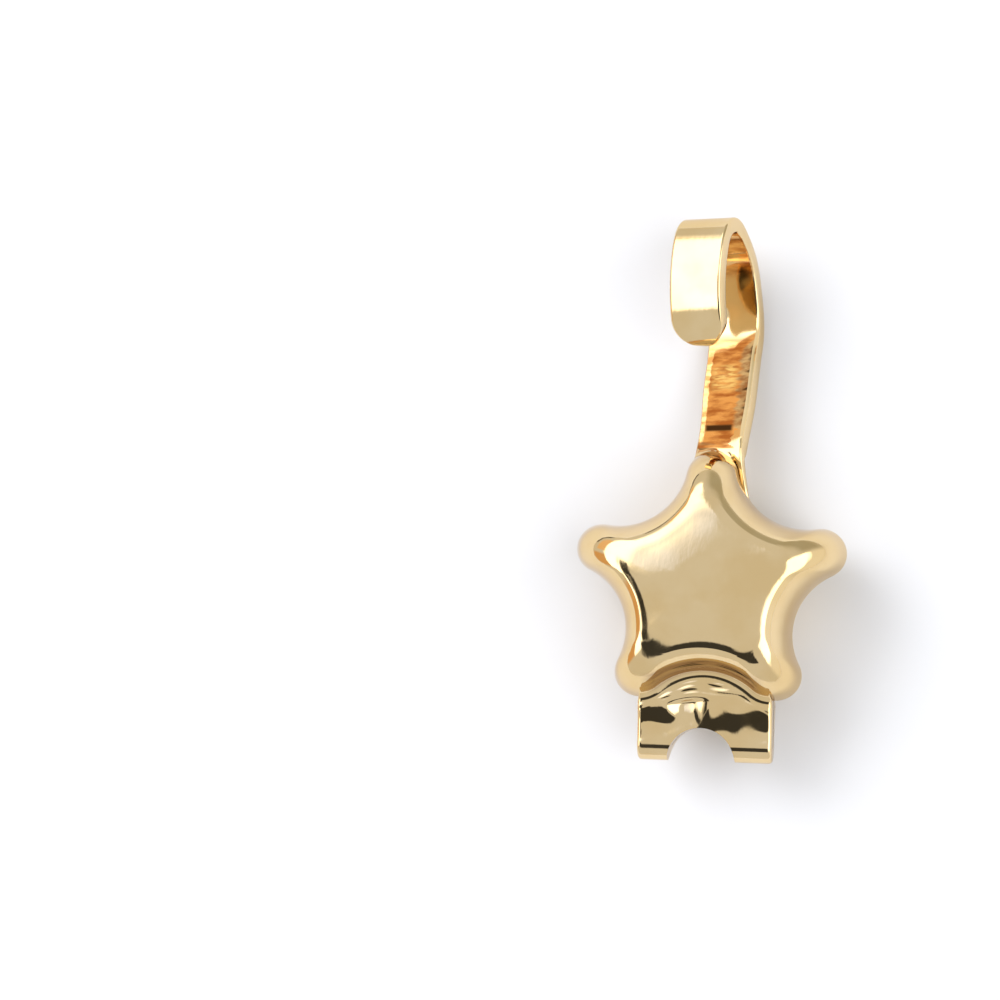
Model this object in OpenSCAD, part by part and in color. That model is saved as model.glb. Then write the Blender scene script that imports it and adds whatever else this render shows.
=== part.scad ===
// Knot cover: a small clamshell bead tip that hides the knot at the end of a beading cord.
// The real part is stamped from one strip of brass sheet and folded in half.
// Two hollow star shells close over the knot, a folded pair of tabs with a cord hole joins them at the bottom,
// and the sheet goes on from the back shell's top arm as a strip that curls over into an open hook.
// All sizes are in millimetres. The part lies on its back shell: X is width, Y runs from fold to hook, Z is up.

/* [Sheet] */
// Thickness of the brass sheet
sheet = 0.35; // [0.3:0.01:0.38]
// Space between the rims of the two closed shells
rim_gap = 0.06; // [0.04:0.01:0.1]

/* [Star shells] */
// Height of each shell from its rim to the flat top of its dome
dome = 1.44; // [1.4:0.02:1.6]
// Distance from the middle of the star to the end of an arm, at the rim
arm_reach = 2.99; // [2.9:0.01:3.1]
// Radius of the round end of an arm, at the rim
arm_round = 0.55; // [0.5:0.01:0.6]
// Distance from the middle of the star to the bottom of the valley between two arms, at the rim
valley_reach = 1.93; // [1.88:0.01:1.96]
// How much wider the star is than a regular one
star_stretch = 1.05; // [1:0.01:1.06]

/* [Hinge tabs] */
// Width of the folded tabs
tab_width = 2.98; // [2.8:0.02:3.2]
// Distance from the middle of the star down to the axis of the fold
fold_drop = 3.54; // [3.4:0.02:3.6]
// Diameter of the cord hole, punched on the fold line
cord_hole = 1.50; // [1.3:0.02:1.6]
// How far the cord hole sits to the left of the middle
cord_hole_left = 0.08; // [0:0.01:0.12]
// Radius of the stamped fillet between the dome's bottom arch and the tab
arch_fillet = 0.25; // [0.15:0.01:0.3]
// Height of the stamped ledge between the dome's bottom arch and the tab
ledge = 0.08; // [0.04:0.01:0.12]
// Distance from the middle of the star down to the ledge's lower edge
ledge_drop = 2.48; // [2.4:0.02:2.6]
// Running space at the fold between the two halves
fold_gap = 0.03; // [0.02:0.01:0.05]

/* [Hook strip] */
// Width of the strip where it leaves the star, as a share of its full width
neck_share = 0.90; // [0.87:0.01:0.92]
// Full width of the strip
strip_width = 1.25; // [1.1:0.01:1.3]
// Bevel on the four long edges of the strip
strip_bevel = 0.05; // [0.03:0.01:0.08]

/* [Hidden] */
eps = 0.01;
half_gap = rim_gap / 2;
lift = dome + half_gap;
fold_radius = sheet + half_gap;
tip_centre = arm_reach - arm_round;
ledge_radius = 2.6;
// How far one shape of a solid runs into the next
bury = 0.05;
// Half the angle that the fillet follows the bottom arch
arch_half_turn = 46;
// Sideways shift, lower end and length of the flat neck beside the top arm
neck_side = 0.03;
neck_start = tip_centre - 0.2;
neck_length = 0.72;
// Where the neck's right edge leaves the star in the valley, and how far right it is at its upper end
neck_foot = [0.83, 1.90];
neck_right = 0.78;
// Length of the punch that cuts the cord hole
punch_length = 4;

// Each valley between two arms is an arc round a point outside the star. These are its distance and radius.
valley_centre = (pow(tip_centre, 2) - pow(arm_round - valley_reach, 2))
    / (2 * (tip_centre * cos(36) + arm_round - valley_reach));
valley_radius = valley_centre - valley_reach;
along = valley_centre * cos(36);
beside = valley_centre * sin(36);
// Smallest radius of an arm's ridge
ridge = 0.045;
// Points on half a valley and on an arm's round end
half_valley_points = 5;
tip_points = 6;

// Level rings of a star shell, from the rim up to the flat top.
// inset: how far the ring lies inside the rim in a valley, as a share of valley_reach
// height: as a share of dome
// reach: distance of the arm's end from the middle, as a share of arm_reach
// side, down, back: which share of the sheet's thickness lies sideways, downwards and along the arm there
shell_rings = [
    [0.00, 0.00, 1.00, 1.00, 0.00, 1.00],
    [0.02, 0.25, 0.97, 0.98, 0.18, 0.97],
    [0.05, 0.47, 0.93, 0.96, 0.27, 0.94],
    [0.09, 0.64, 0.87, 0.92, 0.38, 0.86],
    [0.13, 0.76, 0.81, 0.87, 0.50, 0.76],
    [0.16, 0.83, 0.76, 0.79, 0.60, 0.65],
    [0.19, 0.88, 0.715, 0.70, 0.71, 0.55],
    [0.23, 0.93, 0.65, 0.54, 0.84, 0.42],
    [0.27, 0.96, 0.595, 0.38, 0.93, 0.31],
    [0.33, 0.975, 0.54, 0.22, 0.98, 0.18],
    [0.50, 0.99, 0.38, 0.12, 0.99, 0.10],
    [0.72, 1.00, 0.20, 0.05, 1.00, 0.05]
];

// Sections of the strip from the star's top arm round the hook to its rounded end.
// side: sideways place, up: distance from the middle of the star, depth: height over the parting plane,
// turn: twist about the long axis in degrees, wide: width as a share of strip_width
strip_sections = [
    [0.07, 2.72, -0.205, 3, neck_share],
    [0.14, 3.00, -0.275, 14, neck_share],
    [0.19, 3.45, -0.425, 21, 0.92],
    [0.23, 3.95, -0.590, 23, 0.97],
    [0.25, 4.45, -0.755, 23, 1.00],
    [0.28, 4.95, -0.920, 23, 1.00],
    [0.30, 5.30, -1.035, 22, 1.00],
    [0.32, 5.65, -1.100, 19, 1.00],
    [0.31, 6.12, -1.060, 16, 1.00],
    [0.26, 6.65, -0.900, 14, 1.00],
    [0.17, 7.27, -0.630, 13, 1.00],
    [0.01, 7.76, -0.180, 13, 1.00],
    [-0.14, 8.00, 0.220, 15, 1.00],
    [-0.27, 7.83, 0.590, 17, 1.00],
    [-0.34, 7.38, 0.760, 18, 1.00],
    [-0.37, 6.80, 0.780, 19, 1.00],
    [-0.36, 6.20, 0.700, 19, 1.00],
    [-0.33, 5.78, 0.550, 19, 0.93],
    [-0.29, 5.54, 0.390, 19, 0.74],
    [-0.26, 5.40, 0.260, 19, 0.36]
];
strip_steps = 4;

brass = [0.93, 0.79, 0.50];

// How far out an arm can still reach where a ring lies this far inside the rim
function reach_limit(inset) =
    let (s = valley_radius + inset + ridge)
    s <= beside ? arm_reach : along - sqrt(s * s - beside * beside) + ridge;

// One arm of a ring, pointing along X, from the middle of one valley to just before the middle of the next
function arm_points(inset, wanted) =
    let (
        reach = min(wanted, reach_limit(inset)),
        q = valley_radius + inset,
        k = reach + q,
        c = (k * k - valley_centre * valley_centre) / (2 * (k - along)),
        r = reach - c,
        meet = atan2(beside, c - along)
    )
    concat(
        [for (i = [0 : half_valley_points - 1])
            let (a = 144 + (meet - 144) * i / half_valley_points)
            [along + q * cos(a), -beside + q * sin(a)]],
        [for (i = [0 : tip_points])
            let (a = (meet - 180) * (1 - 2 * i / tip_points))
            [c + r * cos(a), r * sin(a)]],
        [for (i = [1 : half_valley_points - 1])
            let (a = meet + (144 - meet) * i / half_valley_points)
            [along + q * cos(a), beside - q * sin(a)]]
    );

function star_outline(inset, reach) =
    [for (arm = [0 : 4]) let (t = 90 + 72 * arm)
        for (p = arm_points(inset, reach))
            [(p[0] * cos(t) - p[1] * sin(t)) * star_stretch, p[0] * sin(t) + p[1] * cos(t)]];

function lifted(outline, z) = [for (p = outline) [p[0], p[1], z]];

// Catmull-Rom curve through the rows of a table
function table_at(rows, i, f) =
    let (
        last = len(rows) - 1,
        a = rows[max(0, i - 1)],
        b = rows[i],
        c = rows[min(last, i + 1)],
        d = rows[min(last, i + 2)]
    )
    0.5 * (2 * b + (c - a) * f + (2 * a - 5 * b + 4 * c - d) * f * f + (3 * b - a - 3 * c + d) * f * f * f);

function unit(v) = v / norm(v);

// A closed solid through rings of equally many points, first ring at the bottom, last ring at the top
module skin(rings) {
    n = len(rings[0]);
    m = len(rings);
    polyhedron(
        points = [for (r = rings) for (p = r) p],
        faces = concat(
            [[for (i = [0 : n - 1]) i]],
            [for (j = [0 : m - 2]) for (i = [0 : n - 1]) [j * n + i, (j + 1) * n + i, j * n + (i + 1) % n]],
            [for (j = [0 : m - 2]) for (i = [0 : n - 1])
                [j * n + (i + 1) % n, (j + 1) * n + i, (j + 1) * n + (i + 1) % n]],
            [[for (i = [n - 1 : -1 : 0]) (m - 1) * n + i]]
        )
    );
}

// The dome's outer skin from rim to top, then its inner skin back down to the rim, as one hollow shell
module star_shell() {
    outer = [for (r = shell_rings) lifted(star_outline(r[0] * valley_reach, r[2] * arm_reach), r[1] * dome)];
    inner = [for (r = shell_rings) lifted(
        star_outline(r[0] * valley_reach + r[3] * sheet, r[2] * arm_reach - r[5] * sheet),
        r[1] * dome - r[4] * sheet)];
    n = len(outer[0]);
    m = len(outer);
    points = concat([for (r = outer) for (p = r) p], [for (r = inner) for (p = r) p]);
    side = m * n;
    polyhedron(
        points = points,
        faces = concat(
            [for (j = [0 : m - 2]) for (i = [0 : n - 1]) [j * n + i, (j + 1) * n + i, j * n + (i + 1) % n]],
            [for (j = [0 : m - 2]) for (i = [0 : n - 1])
                [j * n + (i + 1) % n, (j + 1) * n + i, (j + 1) * n + (i + 1) % n]],
            [[for (i = [n - 1 : -1 : 0]) (m - 1) * n + i]],
            [for (j = [0 : m - 2]) for (i = [0 : n - 1])
                [side + j * n + i, side + j * n + (i + 1) % n, side + (j + 1) * n + i]],
            [for (j = [0 : m - 2]) for (i = [0 : n - 1])
                [side + j * n + (i + 1) % n, side + (j + 1) * n + (i + 1) % n, side + (j + 1) * n + i]],
            [[for (i = [0 : n - 1]) side + (m - 1) * n + i]],
            [for (i = [0 : n - 1]) [i, (i + 1) % n, side + i]],
            [for (i = [0 : n - 1]) [(i + 1) % n, side + (i + 1) % n, side + i]]
        )
    );
}

// The outline of the middle of the dome's wall at the rim
module wall_middle() {
    polygon(star_outline(sheet / 2, arm_reach - sheet / 2));
}

// The tab's outline, up to just inside the dome's wall
module tab_outline() {
    difference() {
        translate([-tab_width / 2, -fold_drop])
            square([tab_width, fold_drop - valley_reach + sheet]);
        wall_middle();
    }
}

// The flat tab below the star, with a raised ledge that ends in a shallow arc
module tab_plate() {
    linear_extrude(sheet)
        tab_outline();
    linear_extrude(sheet + ledge)
        difference() {
            tab_outline();
            translate([0, -ledge_drop - ledge_radius])
                circle(r = ledge_radius, $fn = 180);
        }
}

// The curved fillet where the dome's bottom arch runs out into the ledge
module arch_flange() {
    translate([0, -valley_centre, sheet + ledge])
        rotate([0, 0, 90 - arch_half_turn])
            rotate_extrude(angle = 2 * arch_half_turn, $fn = 96)
                translate([valley_radius - arch_fillet + bury, 0])
                    difference() {
                        translate([0, -bury])
                            square([arch_fillet + sheet / 3, arch_fillet + bury]);
                        translate([0, arch_fillet])
                            circle(r = arch_fillet, $fn = 48);
                    }
}

module cord_notch() {
    translate([-cord_hole_left, -fold_drop - fold_radius, -punch_length / 2])
        cylinder(d = cord_hole, h = punch_length, $fn = 64);
}

module half_with_tab() {
    star_shell();
    tab_plate();
    arch_flange();
}

// The sheet beside the top arm, where the strip starts. On the right it reaches down into the valley.
module neck_flange() {
    left = neck_side - strip_width * neck_share / 2;
    top = neck_start + neck_length;
    linear_extrude(sheet - 2 * eps)
        difference() {
            polygon([[left, neck_start], [0, neck_start], neck_foot, [neck_right, top], [left, top]]);
            wall_middle();
        }
}

function strip_ring(row, direction) =
    let (
        t = unit(direction),
        a0 = [cos(row[3]), 0, sin(row[3])],
        a = unit(a0 - (a0 * t) * t),
        n = cross(a, t),
        w = row[4] * strip_width / 2,
        h = sheet / 2,
        b = strip_bevel,
        c = [row[0], row[1], row[2]]
    )
    [for (p = [[w - b, -h], [b - w, -h], [-w, b - h], [-w, h - b], [b - w, h], [w - b, h], [w, h - b], [w, b - h]])
        c + p[0] * a + p[1] * n];

module hook_strip() {
    last = len(strip_sections) - 1;
    stops = concat([for (i = [0 : last - 1]) for (k = [0 : strip_steps - 1]) i + k / strip_steps], [last]);
    rows = [for (s = stops) table_at(strip_sections, min(last - 1, floor(s)), s - min(last - 1, floor(s)))];
    places = [for (r = rows) [r[0], r[1], r[2]]];
    m = len(rows);
    skin([for (i = [0 : m - 1]) strip_ring(rows[i], places[min(m - 1, i + 1)] - places[max(0, i - 1)])]);
}

module back_half() {
    color(brass)
        translate([0, 0, lift])
            difference() {
                union() {
                    translate([0, 0, -half_gap])
                        mirror([0, 0, 1])
                            half_with_tab();
                    translate([0, 0, -half_gap - sheet + eps])
                        neck_flange();
                    hook_strip();
                    translate([-tab_width / 2, -fold_drop, 0])
                        rotate([0, 90, 0])
                            cylinder(r = fold_radius - eps, h = tab_width, $fn = 64);
                }
                cord_notch();
            }
}

module front_half() {
    color(brass)
        translate([0, 0, lift])
            difference() {
                translate([0, 0, half_gap])
                    half_with_tab();
                cord_notch();
                translate([-tab_width / 2 - 1, -fold_drop, 0])
                    rotate([0, 90, 0])
                        cylinder(r = fold_radius + fold_gap, h = tab_width + 2, $fn = 64);
            }
}

back_half();
front_half();
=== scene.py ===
"""A star-shaped knot cover with an open hook, lying on its back shell on a pale floor.

The stamped sheet is modelled as one closed mesh for each half, from the same named sizes as the CAD model,
and two short pieces that bend across the fold. All shapes are worked out in millimetres, and make_mesh turns
them into metres.
"""
import math

import bmesh
import bpy
import numpy as np
from mathutils import Matrix, Vector


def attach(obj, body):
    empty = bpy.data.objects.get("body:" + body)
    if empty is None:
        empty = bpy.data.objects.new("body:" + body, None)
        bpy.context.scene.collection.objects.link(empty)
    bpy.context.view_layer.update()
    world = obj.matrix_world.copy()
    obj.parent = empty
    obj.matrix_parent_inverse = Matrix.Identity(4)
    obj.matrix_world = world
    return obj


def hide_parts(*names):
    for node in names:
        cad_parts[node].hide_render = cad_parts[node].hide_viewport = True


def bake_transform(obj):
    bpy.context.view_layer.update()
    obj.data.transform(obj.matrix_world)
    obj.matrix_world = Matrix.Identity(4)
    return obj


MM = 0.001

# Sheet and star sizes, in millimetres, as in the CAD model
SHEET = 0.35
HALF_GAP = 0.03
DOME = 1.44
LIFT = DOME + HALF_GAP
ARM_REACH = 2.99
ARM_ROUND = 0.55
VALLEY_REACH = 1.93
STAR_STRETCH = 1.05
TAB_HALF = 1.49
FOLD_DROP = 3.54
FOLD_RADIUS = SHEET + HALF_GAP
CORD_HOLE_RADIUS = 0.75
CORD_HOLE_LEFT = 0.08
FILLET = 0.25
LEDGE = 0.08
LEDGE_DROP = 2.48
LEDGE_RADIUS = 2.6
STRIP_HALF = 0.625
STRIP_BEVEL = 0.06
TONGUE_ROUND = 0.62
TONGUE_TIP = 0.15
END_ROUND = 0.08

# Small roundings that the stamping leaves on the sheet's edges, the angles at which they have points, and
# how much flatter than round the fold is at its lowest place
RIM_ROUND = 0.035
SIDE_ROUND = 0.08
ROUND_TURNS = (30, 60, 90)
FOLD_FLAT = 0.011

# How far the fillet below the dome's bottom arch runs out, as a share of its height
FILLET_RUN = 0.8

# The step below the ledge. Round one place across the tab it is sharp, with this run, and dips below the flat
# by this share of the ledge, up to this distance. Between two distances from that place it turns gentle
STEP_RUN = 0.12
STEP_PLACE = -0.38
STEP_TURNS_GENTLE = (0.08, 0.52)
STEP_DIP = 0.25
STEP_DIP_END = 0.42

# The gentle slope: where it starts and its length at the left, then what is added and what is taken away,
# each with the two places across the tab between which it grows to the full amount
SLOPE_TOP = -2.70
SLOPE_LENGTH = 0.42
SLOPE_LONGER = (0.26, -0.4, 0.1)
SLOPE_SHORTER = (0.12, 0.6, 1.3)

# Waves in the tab: depth, radians per millimetre across and up, and phase. They fade out over these distances
# from its top and from the fold
TAB_WAVES = ((0.004, 9.0, 4.0, 0.6), (0.003, 5.0, -12.0, 2.0))
TAB_CALM_TOP = 0.10
TAB_CALM_FOLD = 0.15

# Waves in the star's top, as shares of a depth, with the highest sum of them, the depth, and the share of the
# dome's height from which they start and over which they grow to the full depth
TOP_WAVES = ((1.0, 2.2, 1.1, 0.4), (0.7, -1.9, 3.4, 2.1), (0.4, 5.2, 2.7, 0.0))
TOP_WAVES_HIGHEST = 2.1
TOP_WAVES_DEPTH = 0.0045
TOP_WAVES_FROM = 0.90
TOP_WAVES_FADE = 0.07

# Fine lines along the ledge: radians per millimetre, and depth
LEDGE_LINES = 44.0
LEDGE_LINES_DEPTH = 0.0044

# Fine ripples across the strip: radians per millimetre, depth, and further waves. They fade out between two
# distances from the star's middle, and after this share of the strip's length, in its bend, there are none
RIPPLES = 44.0
RIPPLES_DEPTH = 0.0006
RIPPLE_WAVES = ((0.8, 5.0, 29.0, 1.0), (1.0, -3.0, 17.0, 0.0))
RIPPLES_END = (4.95, 5.45)
STRIP_BEND_SHARE = 0.4

# The strip's left and right edges stand up by this much, from this share of its half width on and with this
# curve, and only between these shares of its length
EDGE_RISE = (0.03, 0.07)
EDGE_FROM = (0.70, 0.15)
EDGE_CURVE = (1.5, 1.6)
EDGE_GROWS = (0.0, 0.06)
EDGE_FADES = (0.30, 0.42)

# Heights at which a shell's wall passes into its lower part: the usual one, the lowest one beside the neck,
# how much higher the neck's middle is, and how much lower it is on the inner skin
WALL_JOIN = SHEET + LEDGE + FILLET
NECK_JOIN = SHEET + 0.02
NECK_JOIN_RISE = 0.28
INNER_JOIN_DROP = 0.15

# How far the neck's curve is pulled down the wall, as a share of its drop, and back from the strip
NECK_PULL_DOWN = 0.9
NECK_PULL_BACK = 0.22

# Least distance between the rows of the tab's underside, counted from the wall's foot
UNDERSIDE_STEP = 0.004

# Mesh density
HALF_VALLEY_POINTS = 16
TIP_POINTS = 26
DOME_ROWS = 64
WALL_ROWS = 26
INNER_ROWS = 18
PROFILE_SAMPLES = 241
STRIP_STEPS = 18
LEDGE_ROWS = 24
STEP_ROWS = 6
FLAT_ROWS = 40
FILLET_ROWS = 10
INNER_WALL_ROWS = 6
TOP_RING_SHARES = (0.85, 0.7, 0.55, 0.4, 0.25, 0.12)
NECK_FIRST_COLUMN = 7
NECK_ROWS = 9
NECK_UNDER_SHARES = (0.33, 0.66)
JOIN_BLEND_COLUMNS = 8
FOLD_STEPS = 24
PUNCH_SIDES = 96

# Places of points across the rounding of the tab's sides, as shares of it, and the step to the even ones
TAB_SIDE_SHARES = (0.0, 0.08, 0.29, 0.62, 1.0)
TAB_SIDE_STEP = 0.035

# How many profile samples the direction down a wall is taken over
DOWN_SAMPLES = 4

# Points across the strip lie closer towards its edges, as the sines of angles up to this one do
STRIP_SPREAD = 78

# Places along an arm's round end, from -1 to 1: extra ones, and the steps at which the tab and the neck end
EXTRA_TIP_SHARES = (0.4700, 0.4800, 0.4950, 0.5150)
TAB_EDGE_STEP = 19
NECK_EDGE_STEP = 25

# Each valley between two arms is an arc round a point outside the star, along and beside the arm
ARMS = 5
ARM_TURN = 360 // ARMS
VALLEY_TURN = ARM_TURN // 2
TIP_CENTRE = ARM_REACH - ARM_ROUND
VALLEY_CENTRE = (TIP_CENTRE**2 - (ARM_ROUND - VALLEY_REACH) ** 2) / (
    2 * (TIP_CENTRE * math.cos(math.radians(VALLEY_TURN)) + ARM_ROUND - VALLEY_REACH)
)
VALLEY_RADIUS = VALLEY_CENTRE - VALLEY_REACH
ALONG = VALLEY_CENTRE * math.cos(math.radians(VALLEY_TURN))
BESIDE = VALLEY_CENTRE * math.sin(math.radians(VALLEY_TURN))

# Level rings of a star shell from rim to flat top: inset as a share of VALLEY_REACH, height as a share of
# DOME, reach as a share of ARM_REACH, and the shares of the sheet's thickness that lie sideways, downwards
# and along the arm
SHELL_RINGS = np.array([
    [0.00, 0.00, 1.00, 1.00, 0.00, 1.00],
    [0.02, 0.25, 0.97, 0.98, 0.18, 0.97],
    [0.05, 0.47, 0.93, 0.96, 0.27, 0.94],
    [0.09, 0.64, 0.87, 0.92, 0.38, 0.86],
    [0.13, 0.76, 0.81, 0.87, 0.50, 0.76],
    [0.16, 0.83, 0.76, 0.79, 0.60, 0.65],
    [0.19, 0.88, 0.715, 0.70, 0.71, 0.55],
    [0.23, 0.93, 0.65, 0.54, 0.84, 0.42],
    [0.25, 0.948, 0.62, 0.46, 0.89, 0.36],
    [0.27, 0.96, 0.595, 0.38, 0.93, 0.31],
    [0.33, 0.975, 0.54, 0.22, 0.98, 0.18],
    [0.40, 0.982, 0.475, 0.17, 0.98, 0.14],
    [0.50, 0.99, 0.38, 0.12, 0.99, 0.10],
    [0.72, 1.00, 0.20, 0.05, 1.00, 0.05],
])

# Sections of the strip from the neck round the hook to its rounded end: sideways place, distance from the
# star's middle, height over the parting plane, twist in degrees, width share
STRIP_SECTIONS = np.array([
    [0.14, 3.00, -0.275, 19, 0.90],
    [0.19, 3.45, -0.425, 22, 0.92],
    [0.23, 3.95, -0.590, 23, 0.97],
    [0.25, 4.45, -0.755, 23, 1.00],
    [0.28, 4.95, -0.920, 23, 1.00],
    [0.30, 5.30, -1.035, 22, 1.00],
    [0.32, 5.65, -1.100, 19, 1.00],
    [0.31, 6.12, -1.060, 16, 1.00],
    [0.26, 6.65, -0.900, 14, 1.00],
    [0.17, 7.27, -0.630, 13, 1.00],
    [0.01, 7.76, -0.180, 13, 1.00],
    [-0.14, 7.999, 0.220, 15, 1.00],
    [-0.27, 7.83, 0.590, 17, 1.00],
    [-0.34, 7.38, 0.760, 18, 1.00],
    [-0.37, 6.80, 0.780, 19, 1.00],
    [-0.36, 6.20, 0.700, 19, 1.00],
    [-0.33, 5.78, 0.550, 19, 1.00],
    [-0.29, 5.54, 0.390, 19, 1.00],
    [-0.26, 5.40, 0.240, 19, 1.00],
])

# Point inside the hook, in millimetres, that the inner side of the strip and the hook faces, and the least
# cosine of the angle between a face's normal and the way to it
HOOK_MIDDLE = (0.0, 6.6, LIFT - 0.1)
FACING = 0.3

# Gold plating: light and deep tone, features per metre of the tone, the polish and the drawn lines, the least
# and the most roughness, and the lines' depth outside and inside the strip
GOLD_LIGHT = (0.81, 0.625, 0.355)
GOLD_DEEP = (0.77, 0.57, 0.290)
TONE_SCALE = (900.0, 900.0, 900.0)
POLISH_SCALE = (2600.0, 2600.0, 2600.0)
ROUGHNESS = (0.035, 0.11)
DRAWN_LINES = (11000.0, 4500.0, 1500.0)
DRAWN_DEPTH = 1.0e-6
INSIDE_DEPTH = 0.4e-6

# Tint of the gold where it is seen almost edge-on, so that the outline doesn't fade into the pale paper
GRAZING_TINT = (0.88, 0.84, 0.81)

# The painted reflection inside the strip and hook: a light and a deep orange tone that paint the gold
# mirrored in itself, and its cross lines
INSIDE_REFLECTION_LIGHT = (0.88, 0.54, 0.22)
INSIDE_REFLECTION_DEEP = (0.48, 0.20, 0.06)
INSIDE_LINES = (1500.0, 7000.0, 4000.0)

# Painted light on it: a painted highlight patch, the bend that is plain pale gold again, and a painted dark
# reflection line across the strip. Ranges here and for the arch's painted shade are in millimetres along Y, X
# and Z, and scales in features per metre
HIGHLIGHT_PATCH_UP = (4.45, 5.00)
HIGHLIGHT_PATCH_ACROSS = (-0.15, 0.40)
HIGHLIGHT_PATCH_COLOUR = (1.00, 0.90, 0.45)
HIGHLIGHT_PATCH_LINES = (2500.0, 16000.0, 5000.0)
PALE_BEND_UP = (5.65, 7.05)
DARK_REFLECTION_UP = (3.47, 3.61)
DARK_REFLECTION_ACROSS = (-0.25, 0.38)
DARK_REFLECTION_COLOUR = (0.07, 0.04, 0.02)

# Painted shade: the browner arch between the front star's wall and the tab, a painted dark reflection of the
# shaded floor
ARCH_SHADE_UP = (-2.45, -1.62)
ARCH_SHADE_ACROSS = (-1.20, 1.20)
ARCH_SHADE_HEIGHT = (2.00, 2.60)
ARCH_SHADE_COLOUR = (0.42, 0.28, 0.17)
ARCH_SHADE_LINES = (700.0, 700.0, 9000.0)

# Paper on the floor, with half its side in metres, and the main light: place and size in metres, and power in
# watts
PAPER_HALF = 0.6
PAPER = (0.755, 0.768, 0.805)
KEY_PLACE = (-0.22, 0.17, 0.24)
KEY_SIZE = 0.22
KEY_POWER = 0.42

# Patches of the studio as the gold mirrors them, by azimuth from +X towards +Y and by elevation, in degrees:
# middle azimuth, half width, lowest and highest elevation, soft edge, colour
STUDIO_GREY = 0.78
STUDIO_PATCHES = (
    (62, 30, 0, 48, 12, (0.50, 0.49, 0.42)),
    (-8, 36, -2, 32, 8, (1.05, 1.05, 1.05)),
    (-8, 34, 32, 74, 4, (2.80, 2.80, 2.80)),
    (136, 28, 55, 79.5, 3, (1.05, 1.15, 1.50)),
    (157, 50, 31, 52, 3, (2.80, 2.80, 2.80)),
    (141, 31, 28, 72, 8, (2.60, 2.60, 2.60)),
    (148, 17, 12, 28, 2, (1.00, 0.68, 0.40)),
    (190, 16, 2, 29, 4, (0.80, 0.48, 0.22)),
    (185, 13, 57, 68, 2, (0.05, 0.05, 0.05)),
    (245, 46, 51, 75.5, 2, (0.05, 0.05, 0.05)),
    (134, 15, 0, 5, 2, (0.08, 0.07, 0.05)),
)

# The camera turns this many degrees to the right of straight above the star, towards the fold, and in the
# picture plane
VIEW_YAW = 11.0
VIEW_PITCH = 4.0
VIEW_ROLL = 1.9
PIXELS = 1000
PIXELS_PER_MM = 45.0
STAR_AT_PIXEL = (710.0, 585.0)
LENS_MM = 100.0
SENSOR_MM = 36.0


def spline(rows, at):
    """Natural cubic spline through the rows of a table, at fractional row numbers."""
    n = len(rows)
    system = np.zeros((n, n))
    right = np.zeros_like(rows)
    system[0, 0] = system[-1, -1] = 1.0
    for i in range(1, n - 1):
        system[i, i - 1 : i + 2] = (1.0, 4.0, 1.0)
        right[i] = 6 * (rows[i + 1] - 2 * rows[i] + rows[i - 1])
    bend = np.linalg.solve(system, right)
    at = np.clip(np.asarray(at, float), 0, n - 1)
    i = np.minimum(at.astype(int), n - 2)
    f = (at - i)[:, None]
    g = 1 - f
    return (
        g * rows[i]
        + f * rows[i + 1]
        + ((g**3 - g) * bend[i] + (f**3 - f) * bend[i + 1]) / 6
    )


def tip_step(number):
    """One of the even places along an arm's round end."""
    return round(2 * number / TIP_POINTS - 1, 5)


def tip_shares():
    """Places along an arm's round end, with closer ones where the edges of the tab and the strip start."""
    shares = {tip_step(i) for i in range(TIP_POINTS + 1)}
    for near in EXTRA_TIP_SHARES:
        shares |= {near, -near}
    return np.array(sorted(shares))


TIP_SHARES = tip_shares()
TAB_EDGE_SHARE = tip_step(TAB_EDGE_STEP)
NECK_EDGE_SHARE = tip_step(NECK_EDGE_STEP)
COLUMNS_PER_ARM = 2 * HALF_VALLEY_POINTS - 1 + len(TIP_SHARES)
COLUMNS = ARMS * COLUMNS_PER_ARM


def star_outline(inset, reach):
    """The closed outline of one level ring, counterclockwise, starting in the valley right of the top arm.

    An arm is made of half a valley's arc of radius q, the round end of radius r about a centre at c, which
    meets the valleys' arcs smoothly, and half of the next valley's arc.
    """
    q = VALLEY_RADIUS + inset
    k = reach + q
    c = (k * k - VALLEY_CENTRE**2) / (2 * (k - ALONG))
    r = reach - c
    meet = math.atan2(BESIDE, c - ALONG)
    valley_edge = math.radians(180 - VALLEY_TURN)
    first = valley_edge + (meet - valley_edge) * np.arange(HALF_VALLEY_POINTS) / HALF_VALLEY_POINTS
    tip = (math.pi - meet) * TIP_SHARES
    second = meet + (valley_edge - meet) * np.arange(1, HALF_VALLEY_POINTS) / HALF_VALLEY_POINTS
    x = np.concatenate([ALONG + q * np.cos(first), c + r * np.cos(tip), ALONG + q * np.cos(second)])
    y = np.concatenate([-BESIDE + q * np.sin(first), r * np.sin(tip), BESIDE - q * np.sin(second)])
    arms = []
    for arm in range(ARMS):
        t = math.radians(90 + ARM_TURN * arm)
        arms.append(np.stack([
            (x * math.cos(t) - y * math.sin(t)) * STAR_STRETCH,
            x * math.sin(t) + y * math.cos(t),
        ], axis=1))
    return np.concatenate(arms)


def waves(table, x, y):
    """The sum of some waves in the sheet at one place."""
    return sum(depth * np.sin(across * x + up * y + phase) for depth, across, up, phase in table)


def dents(x, y):
    """Depth of the faint unevenness of the polished top."""
    return TOP_WAVES_DEPTH * (waves(TOP_WAVES, x, y) + TOP_WAVES_HIGHEST)


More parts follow.
